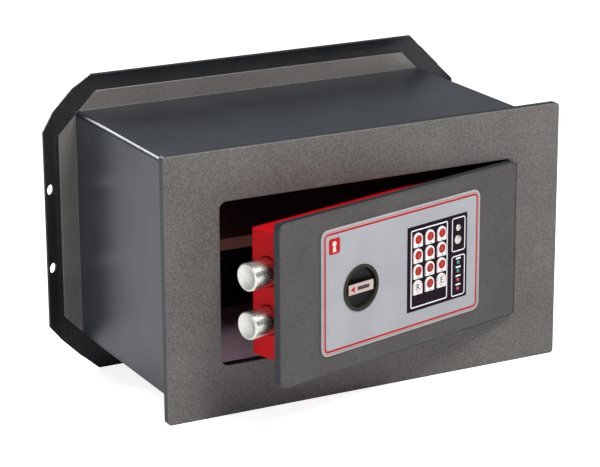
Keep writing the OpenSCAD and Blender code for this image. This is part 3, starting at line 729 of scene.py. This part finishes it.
def weld_recipe():
    """Short weld beads along the seams between points: overlapping drops of metal."""
    recipe = Recipe("weld_beads", Drop=0.0018, Step=0.0016, Flat=0.7)
    given = recipe.inputs
    path = recipe.add("GeometryNodeMeshToCurve", {}, {"Mesh": given["Geometry"]})
    spots = recipe.add("GeometryNodeCurveToPoints", {"mode": "LENGTH"},
                       {"Curve": path, "Length": given["Step"]})
    drop = recipe.add("GeometryNodeMeshIcoSphere", {}, {"Radius": given["Drop"], "Subdivisions": 2})
    size = recipe.add("FunctionNodeRandomValue", {"data_type": "FLOAT"}, {2: 0.82, 3: 1.08, "Seed": 3}, 1)
    recipe.end(recipe.add("GeometryNodeInstanceOnPoints", {},
                          {"Points": spots, "Instance": drop,
                           "Scale": recipe.vector(size, given["Flat"], size)}))
    return recipe


PRINTED_FRAME = frame_recipe()
CROSS_SCREWS = screw_recipe()
WELD_BEADS = weld_recipe()
INK = 0.05 * MM


def print_frame(name, width, height, corner, line, centre, front, finish):
    """A printed frame on the closed door's face, centred on (x, z) and standing on a depth."""
    mesh = PRINTED_FRAME.run(finish, Width=width, Height=height, Corner=corner, Line=line, Thickness=INK)
    spot = Vector((centre[0], front - INK / 2, centre[1]))
    mesh.transform(Matrix.Translation(spot) @ Matrix.Rotation(math.pi / 2, 4, "X"))
    return show(name, mesh, finish, "door", on_door=True)


def screws(node, towards, on_door=True):
    """Stands for a node of screws; towards is the way their heads face on the closed door."""
    boxes = solids(node)
    way = Vector(towards)
    axis = [abs(k) for k in towards].index(1)
    side = (axis + 1) % 3
    radius = max(hi[side] - lo[side] for lo, hi in boxes) / 2
    heads = [(lo, hi) for lo, hi in boxes if (hi[side] - lo[side]) / 2 > 0.8 * radius]
    rise = 1.8 * MM
    length = max(hi[axis] - lo[axis] for lo, hi in boxes) - rise
    turn = Vector((0, 0, 1)).rotation_difference(way).to_matrix().to_4x4()
    seats = []
    for lo, hi in heads:
        seat = middle((lo, hi))
        seat[axis] = (hi if towards[axis] > 0 else lo)[axis] - rise * towards[axis]
        seats.append(turn.inverted() @ seat)
    finish = SLOT_FINISH["screw_zinc"]
    mesh = CROSS_SCREWS.run(finish, seats, Head=radius, Rise=rise, Length=length)
    mesh.transform(turn)
    show(node + "_finished", mesh, finish, NODE_BODY[node], on_door, [node])


def lettering(text, height, centre, front, finish, name, body):
    """A raised digit or key letter on the closed door's face."""
    curve = bpy.data.curves.new(name, "FONT")
    curve.body = text
    curve.align_x = "CENTER"
    curve.extrude = INK / 2
    curve.resolution_u = 4
    curve.offset = 0.018
    writer = bpy.data.objects.new(name, curve)
    bpy.context.scene.collection.objects.link(writer)
    mesh = evaluated(writer)
    copy = bmesh.new()
    copy.from_mesh(mesh)
    bmesh.ops.remove_doubles(copy, verts=copy.verts, dist=1e-7)
    copy.to_mesh(mesh)
    copy.free()
    low, high = span([v.co for v in mesh.vertices])
    scale = height / (high.y - low.y)
    mesh.transform(Matrix.Translation(-middle((low, high))))
    mesh.transform(Matrix.Diagonal((scale, scale, 1, 1)))
    mesh.transform(Matrix.Rotation(math.pi / 2, 4, "X"))
    mesh.transform(Matrix.Translation((centre[0], front - INK / 2, centre[1])))
    return show(name, mesh, finish, body, on_door=True)


# ---- Body ----

def front_plate_piece():
    """The front plate as closed rings of faces round its opening, with rounded arrises."""
    low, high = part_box("front_plate")
    outer_bend, hole_bend, hinge_bend = 3 * MM, 6 * MM, 2 * MM
    reach = high - Vector((20, 0, 20)) * MM
    inner = [v.co for v in frame["nodes"]["front_plate"].data.vertices
             if abs(v.co.x) < reach.x and abs(v.co.z) < reach.z]
    hole_low, hole_high = span(inner)
    arris, burr = 0.9 * MM, 0.4 * MM
    turns = [math.pi / 2 * k / 4 for k in range(5)]
    bends = [(arris * (1 - math.cos(a)), low.y + arris * (1 - math.sin(a))) for a in turns]
    section = [(burr, high.y), (0, high.y - burr)] + bends
    rings = []
    for inset, depth in section:
        outline = rounded_outline(high.x - low.x - 2 * inset, high.z - low.z - 2 * inset,
                                  outer_bend - inset)
        rings.append([(x, depth, z) for x, z in outline])
    width, height = hole_high.x - hole_low.x, hole_high.z - hole_low.z
    for inset, depth in reversed(section):
        outline = rounded_outline(width + 2 * inset, height + 2 * inset, hole_bend + inset,
                                  right=hinge_bend + inset)
        rings.append([(x, depth, z) for x, z in outline])
    shape = bmesh.new()
    loops = [[shape.verts.new(point) for point in ring] for ring in rings]
    count = len(rings[0])
    for first, second in zip(loops, loops[1:] + loops[:1]):
        for k in range(count):
            n = (k + 1) % count
            shape.faces.new([first[k], first[n], second[n], second[k]])
    bmesh.ops.recalc_face_normals(shape, faces=shape.faces)
    mesh = bpy.data.meshes.new("front_plate_finished")
    shape.to_mesh(mesh)
    shape.free()
    show("front_plate_finished", weighted(mesh), SLOT_FINISH["face_paint"], "safe_body",
         stands_for=["front_plate"])


def body_pieces():
    front_plate_piece()
    soften("body_shell", 0.5 * MM, 3)
    soften("back_panel", 0.4 * MM, 2)
    soften("shelf", 0.4 * MM, 2)
    soften("floor_mat", 0.7 * MM, 3)
    soften("shelf_rails", 0.3 * MM, 2)
    soften("bolt_keeper", 0.4 * MM, 2)
    for side in ("upper", "lower"):
        soften("hinge_bracket_" + side, 0.5 * MM, 3)
        soften("hinge_arm_" + side, 0.6 * MM, 3)
        soften("hinge_pin_" + side, 0.5 * MM, 3)
    weld_pieces()


def weld_pieces():
    """Four stitches of weld on each long seam and two on each short one, behind the front plate."""
    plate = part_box("front_plate")
    seam = plate[1].y + 0.9 * MM
    shell_x = plate[1].x - 13 * MM
    shell_z = plate[1].z - 10.5 * MM
    stitch = 12 * MM
    long_pitch, short_pitch = 78 * MM, 90 * MM
    beads = []
    for side in (-1, 1):
        for k in (-1.5, -0.5, 0.5, 1.5):
            x = k * long_pitch
            beads.append([(x - stitch, seam, side * shell_z), (x + stitch, seam, side * shell_z)])
        for k in (-0.5, 0.5):
            z = k * short_pitch
            beads.append([(side * shell_x, seam, z - stitch), (side * shell_x, seam, z + stitch)])
    points = [p for bead in beads for p in bead]
    edges = [(2 * k, 2 * k + 1) for k in range(len(beads))]
    paint = SLOT_FINISH["body_paint"]
    mesh = WELD_BEADS.run(paint, points, edges)
    mesh.shade_smooth()
    show("weld_beads", mesh, paint, "safe_body")


# ---- Door ----

def door_pieces():
    # The door plate in the darker, painted-shade copy of the face paint.
    soften("door_plate", 1.1 * MM, 5, DOOR_SHADED_PAINT)
    soften("face_panel", 0.3 * MM, 3)
    soften("keypad_frame", 0.3 * MM, 2)
    soften("lock_cover", 0.8 * MM, 4)
    soften("lock_chassis", 0.3 * MM, 2)
    soften("bolt_guide", 0.5 * MM, 2)
    for node, way in (("arm_screws", (0, 1, 0)), ("cover_screws", (0, 1, 0)), ("bolt_screws", (1, 0, 0))):
        screws(node, way)


def label_print():
    """The red double border and a plain keyhole mark on the face panel."""
    low, high = span(shut_points("face_panel"))
    centre = middle((low, high))
    width, height = high.x - low.x, high.z - low.z
    lines = (("border_outer", 2.0, 0.5, INK_ROSE), ("border_inner", 3.7, 1.5, INK_RED))
    for name, inset, line, ink in lines:
        reach = 2 * inset * MM
        print_frame(name, width - reach, height - reach, (7 - inset) * MM, line * MM,
                    (centre.x, centre.z), low.y, ink)
    mark = (low.x + 13.4 * MM, high.z - 13.6 * MM)
    block = extruded(rounded_outline(11.5 * MM, 12.5 * MM, 2.2 * MM), low.y - INK, low.y, mark)
    show("keyhole_mark", block, INK_RED, "door", on_door=True)
    bow = extruded(disc(2.1 * MM), low.y - 2 * INK, low.y - INK, (mark[0], mark[1] + 1.7 * MM))
    wedge = [(-1.0 * MM, 0.4 * MM), (-1.9 * MM, -4.6 * MM), (1.9 * MM, -4.6 * MM), (1.0 * MM, 0.4 * MM)]
    stem = extruded(wedge, low.y - 2 * INK, low.y - INK, mark)
    show("keyhole_mark_hole", joined([bow, stem]), INK_PALE, "door", on_door=True)


def keypad_print():
    """White frames round the keys, the power contacts and the lamps."""
    low, high = span(shut_points("keypad_frame"))
    keys = [span(shut_points(node, low.y + 1 * MM)) for node in KEY_NODES]
    left = min(k[0].x for k in keys) - 2.1 * MM
    right = max(k[1].x for k in keys) + 1.8 * MM
    frame_z = (low.z + 3.0 * MM, high.z - 3.0 * MM)
    lamps = solids("led_green") + solids("led_red")
    lamp_x = middle(lamps[0]).x
    print_frame("key_frame", right - left, frame_z[1] - frame_z[0], 1.2 * MM, 1.05 * MM,
                ((left + right) / 2, sum(frame_z) / 2), low.y, INK_WHITE)
    boxes = (("contact_frame", 18.6, 27.0), ("lamp_frame", -15.5, 32.6))
    for name, z, height in boxes:
        print_frame(name, 14.2 * MM, height * MM, 1.8 * MM, 0.95 * MM,
                    (lamp_x, z * MM), low.y, INK_WHITE)
    dashes = [extruded(rectangle(5.4 * MM, 1.3 * MM), low.y - INK, low.y,
                       (lamp_x, middle(lamp).z + 3.3 * MM)) for lamp in lamps]
    show("lamp_dashes", joined(dashes), INK_WHITE, "door", on_door=True)


def key_pieces():
    """Key caps with a red disc and a pale digit, or a rose ring and a dark letter, and a tick."""
    legends = {"key_reset": "R", "key_enter": "E"}
    legend_drop, tick_rise = 5.1 * MM, 1.1 * MM
    for node in KEY_NODES:
        body = NODE_BODY[node]
        soften(node, 0.35 * MM, 3)
        front = min(p.y for p in shut_points(node))
        low, high = span(shut_points(node, front + 0.5 * MM))
        centre = ((low.x + high.x) / 2, high.z - legend_drop)
        legend = legends.get(node)
        if legend:
            ring = PRINTED_FRAME.run(INK_ROSE, Width=7.2 * MM, Height=7.6 * MM, Corner=3.55 * MM,
                                     Line=0.45 * MM, Thickness=INK)
            spot = Vector((centre[0], front - INK / 2, centre[1]))
            ring.transform(Matrix.Translation(spot) @ Matrix.Rotation(math.pi / 2, 4, "X"))
            show(node + "_ring", ring, INK_ROSE, body, on_door=True)
            lettering(legend, 5.0 * MM, centre, front, INK_DARK, node + "_legend", body)
        else:
            spot = extruded(disc(3.65 * MM), front - INK, front, centre)
            show(node + "_disc", spot, INK_RED, body, on_door=True)
            lettering(node[-1], 4.3 * MM, centre, front - INK, INK_STONE, node + "_legend", body)
        tick = extruded(rectangle(2.6 * MM, 0.45 * MM), front - INK, front,
                        (centre[0], low.z + tick_rise))
        show(node + "_tick", tick, INK_DARK, body, on_door=True)


def small_face_pieces():
    """Studs of the power contacts and the four lamps, turned with a crown."""
    for node in ("power_contacts", "led_green", "led_red"):
        meshes = []
        for low, high in solids(node):
            radius = (high.x - low.x) / 2
            crown = 0.35 * radius
            spot = middle((low, high))
            spot.y = low.y
            profile = [(0, 0)] + [(crown * (1 - math.cos(a)), radius * math.sin(a))
                                  for a in (0.35, 0.7, 1.05, 1.35, math.pi / 2)]
            profile += [(high.y - low.y, radius), (high.y - low.y, 0)]
            meshes.append(lathe(profile, spot, steps=40))
        slot = NODE_SLOT[node]
        show(node + "_finished", joined(meshes), SLOT_FINISH[slot], "door", True, [node])


# ---- Knob ----

def knob_pieces():
    """A dished disc with a grip bar across it, in a ring of its own plastic."""
    soften("knob_bezel", 0.45 * MM, 3, BEZEL_PLASTIC)
    dish = 0.5 * MM
    low, high = span(shut_points("knob"))
    centre = middle((low, high))
    radius = (high.x - low.x) / 2
    face, back = high.y - 1.4 * MM - centre.y, high.y - centre.y
    disc_profile = [(face + dish, 0), (face + dish, radius - 2.6 * MM), (face, radius - 1.8 * MM),
                    (face, radius - dish), (face + dish, radius), (back, radius), (back, 0)]
    spot = centre
    label = span(shut_points("knob_inlay"))
    width, height = label[1].x - label[0].x + 1 * MM, label[1].z - label[0].z + 1 * MM
    bar = extruded(rounded_outline(width, height, 1.0 * MM, 4), low.y, high.y - 0.2 * MM, (spot.x, spot.z))
    meshes = [lathe(disc_profile, spot), rounded_mesh(bar, 0.4 * MM, 3)]
    show("knob_finished", joined(meshes), SLOT_FINISH["knob_black"], "knob", True, ["knob"])
    soften("knob_inlay", 0.15 * MM, 2)
    low, high = label
    x, z = (low.x + high.x) / 2, (low.z + high.z) / 2
    bar = extruded(rounded_outline(12.5 * MM, 3.0 * MM, 0.5 * MM, 4), low.y - INK, low.y, (x + 2.4 * MM, z))
    show("inlay_bar", bar, INK_DARK, "knob", on_door=True)
    arrow = [(-2.4 * MM, 0), (1.8 * MM, -2.6 * MM), (1.8 * MM, 2.6 * MM)]
    pointer = extruded(arrow, low.y - INK, low.y, (x - 8.6 * MM, z))
    show("inlay_pointer", pointer, INK_RED, "knob", on_door=True)


# ---- Bolts ----

def bolt_pieces():
    for node in ("bolt_upper", "bolt_lower"):
        low, high = span(shut_points(node))
        radius = (high.z - low.z) / 2
        nose = middle((low, high))
        nose.x = low.x
        finish = turned_nickel(node + "_nickel", tuple(DOOR @ nose))
        length = high.x - low.x
        steps = [(0.2, 0), (0.2, 2.1), (0, 1.8), (0, 1.0), (0.3, 0.55), (0.8, 0.15), (1.3, 0)]
        profile = [(0.2 * MM, 0)] + [(a * MM, radius - b * MM) for a, b in steps[1:]]
        profile += [(length - 0.5 * MM, radius), (length, radius - 0.5 * MM), (length, 0)]
        mesh = lathe(profile, nose, "X", 96)
        show(node + "_finished", mesh, finish, "bolts", True, [node])


def carry_over():
    """Gives every node that is still shown its finish."""
    for node, slot in NODE_SLOT.items():
        materials = frame["nodes"][node].data.materials
        materials.clear()
        materials.append(SLOT_FINISH.get(slot) or SLOT_FINISH["bright_steel"])


# ---- Studio ----

def floor_material():
    """White paper that glows a little where it is seen, so that only contact shadows show."""
    floor = Finish("studio_floor", Roughness=0.8, Specular_IOR_Level=0.1)
    cloud = floor.noise(3, 2)
    floor.set("Base Color", floor.blend(cloud, shade("e6e6e8"), shade("eeeeee")))
    floor.set("Emission Color", (1.0, 1.0, 1.0))
    floor.set("Emission Strength", floor.add("LightPath", out="Is Camera Ray") * 0.8
              + floor.add("LightPath", out="Is Glossy Ray") * 0.2)
    return floor.material


def studio_floor():
    """A pale floor on the line from the front plate's lower edge to the rear lip, where the safe rests."""
    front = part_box("front_plate")[0]
    rear = min((v.co for v in frame["nodes"]["back_panel"].data.vertices), key=lambda p: p.z)
    slope = math.atan2(rear.z - front.z, rear.y - front.y)
    half = 6.0
    mesh = bpy.data.meshes.new("studio_floor")
    corners = [(-half, -half, 0), (half, -half, 0), (half, half, 0), (-half, half, 0)]
    mesh.from_pydata(corners, [], [(0, 1, 2, 3)])
    mesh.transform(Matrix.Translation(front - Vector((front.x, 0, 0))) @ Matrix.Rotation(slope, 4, "X"))
    mesh.materials.append(floor_material())
    floor = bpy.data.objects.new("studio_floor", mesh)
    bpy.context.scene.collection.objects.link(floor)


def lamp(name, place, aim, size, power, colour=(1, 1, 1)):
    light = bpy.data.lights.new(name, "AREA")
    light.shape = "RECTANGLE"
    light.size, light.size_y = size
    light.energy = power
    light.color = colour
    holder = bpy.data.objects.new(name, light)
    bpy.context.scene.collection.objects.link(holder)
    holder.location = place
    holder.rotation_mode = "QUATERNION"
    holder.rotation_quaternion = (Vector(aim) - Vector(place)).to_track_quat("-Z", "Y")


def studio_light():
    """A white surround, dimmer as a light than it looks, and four soft boxes."""
    world = bpy.data.worlds.new("studio")
    bpy.context.scene.world = world
    world.use_nodes = True
    nodes, links = world.node_tree.nodes, world.node_tree.links
    seen = nodes.new("ShaderNodeBackground")
    seen.inputs["Strength"].default_value = 1.0
    lit = nodes["Background"]
    lit.inputs["Color"].default_value = (0.93, 0.96, 1.0, 1)
    lit.inputs["Strength"].default_value = 0.28
    seen.inputs["Color"].default_value = (1, 1, 1, 1)
    mix = nodes.new("ShaderNodeMixShader")
    links.new(nodes.new("ShaderNodeLightPath").outputs["Is Camera Ray"], mix.inputs[0])
    links.new(lit.outputs[0], mix.inputs[1])
    links.new(seen.outputs[0], mix.inputs[2])
    links.new(mix.outputs[0], nodes["World Output"].inputs["Surface"])
    aim = (0, -0.12, 0)
    lamp("key", (0.33, -1.5, 1.9), aim, (0.7, 0.7), 56, (1.0, 0.98, 0.96))
    lamp("left_fill", (-2.2, -0.6, 0.5), aim, (1.0, 1.0), 10, (0.95, 0.98, 1.0))
    lamp("front_fill", (-0.6, -2.2, 0.3), aim, (0.8, 0.8), 5, (0.96, 0.98, 1.0))
    lamp("rear_strip", (-0.5, 1.2, 0.72), aim, (0.9, 0.35), 17)


def camera():
    """A long lens, front left and a little above."""
    yaw, pitch, roll = math.radians(27.61), math.radians(17.1), math.radians(-0.3)
    data = bpy.data.cameras.new("camera")
    data.lens = 145.8
    data.clip_end = 100
    holder = bpy.data.objects.new("camera", data)
    bpy.context.scene.collection.objects.link(holder)
    holder.location = (-0.8886, -1.7856, 0.5807)
    way = Vector((math.sin(yaw) * math.cos(pitch), math.cos(yaw) * math.cos(pitch), -math.sin(pitch)))
    aim = way.to_track_quat("-Z", "Y").to_matrix().to_4x4()
    holder.rotation_mode = "QUATERNION"
    holder.rotation_quaternion = (aim @ Matrix.Rotation(roll, 4, "Z")).to_quaternion()
    bpy.context.scene.camera = holder


bpy.context.scene.view_settings.view_transform = "Standard"
camera()
studio_floor()
studio_light()
carry_over()
body_pieces()
door_pieces()
label_print()
keypad_print()
key_pieces()
small_face_pieces()
knob_pieces()
bolt_pieces()
